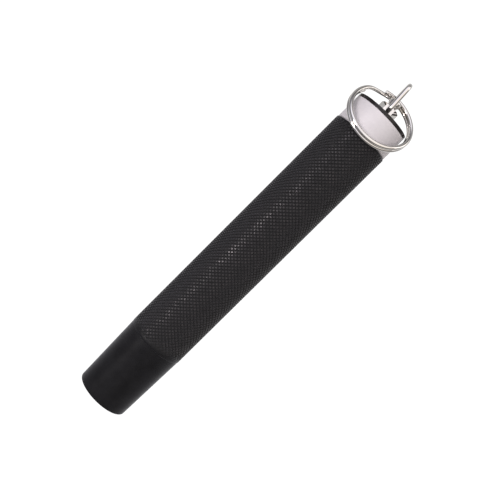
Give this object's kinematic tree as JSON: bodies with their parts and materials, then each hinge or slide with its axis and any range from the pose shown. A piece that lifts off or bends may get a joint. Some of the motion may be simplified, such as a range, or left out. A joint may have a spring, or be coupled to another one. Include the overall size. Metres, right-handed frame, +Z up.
{
  "type": "spring bar tool",
  "caption": "Pocket spring bar tool: knurled tube handle, nose cap over a forked tip in a collet, tail cap with a spare tip rack, and a swivel bail with a split key ring.",
  "frame": {"origin": "centre of the nose cap's flat end face", "axes": "+X along the tool from the nose to the key ring, +Z up with the tool lying on a bench and the key ring folded over its upper side"},
  "size_m": [0.1454, 0.0242, 0.0234],
  "materials": {
    "black_anodised": "black anodised, diamond knurled on the handle, fine turned on the nose cap",
    "satin_silver": "satin anodised",
    "gloss_black": "gloss black, smooth",
    "polished_nickel": "polished nickel plate",
    "brass": "turned",
    "tool_steel": "fine ground",
    "seal_rubber": "smooth moulded",
    "foam": "closed-cell foam",
    "rack_plastic": "moulded acetal"
  },
  "bodies": {
    "handle": {"knurled_handle": "black_anodised", "tip_holder": "brass", "cap_seal_ring": "seal_rubber", "bay_pad": "foam"},
    "nose_cap": {"nose_cap": "black_anodised"},
    "collet": {"collet": "tool_steel", "fork_tip": "tool_steel"},
    "collet_nut": {"collet_nut": "brass"},
    "tail_cap": {"tail_cap": "satin_silver", "tail_seal_ring": "seal_rubber", "end_disc": "gloss_black", "rack_rear_plate": "rack_plastic", "rack_front_plate": "rack_plastic", "rack_stem": "tool_steel", "rack_screw": "tool_steel", "spare_wide_fork_tip": "tool_steel", "spare_fine_fork_tip": "tool_steel", "spare_pin_tip": "tool_steel", "spare_pusher_tip": "tool_steel", "swivel_post": "polished_nickel", "post_washer": "tool_steel", "post_clip": "tool_steel"},
    "swivel_collar": {"swivel_collar": "polished_nickel"},
    "bail": {"bail": "polished_nickel"},
    "split_ring": {"split_ring": "polished_nickel"}
  },
  "joints": [
    {"name": "nose_cap_pull", "type": "slide", "parent": "handle", "child": "nose_cap", "axis": [-1, 0, 0], "range_m": [0, 0.03]},
    {"name": "collet_release", "type": "slide", "parent": "handle", "child": "collet", "axis": [-1, 0, 0], "range_m": [0, 0.001]},
    {"name": "collet_nut_turn", "type": "hinge", "parent": "collet", "child": "collet_nut", "pos_m": [0.0186, 0, 0], "axis": [-1, 0, 0], "range_deg": [0, 720]},
    {"name": "tail_cap_pull", "type": "slide", "parent": "handle", "child": "tail_cap", "axis": [1, 0, 0], "range_m": [0, 0.06]},
    {"name": "swivel_turn", "type": "hinge", "parent": "tail_cap", "child": "swivel_collar", "pos_m": [0.1338, 0, 0], "axis": [1, 0, 0], "continuous": true},
    {"name": "bail_swing", "type": "hinge", "parent": "swivel_collar", "child": "bail", "pos_m": [0.1338, 0, 0], "axis": [0, 0, 1], "range_deg": [-33, 27]},
    {"name": "ring_swing", "type": "hinge", "parent": "swivel_collar", "child": "split_ring", "pos_m": [0.13926, 0, -0.00312], "axis": [0, 1, 0], "range_deg": [0, 140]}
  ],
  "couplings": [
    {"joint": "collet_nut_turn", "follows": "collet_release", "rad_per_m": 12566}
  ]
}
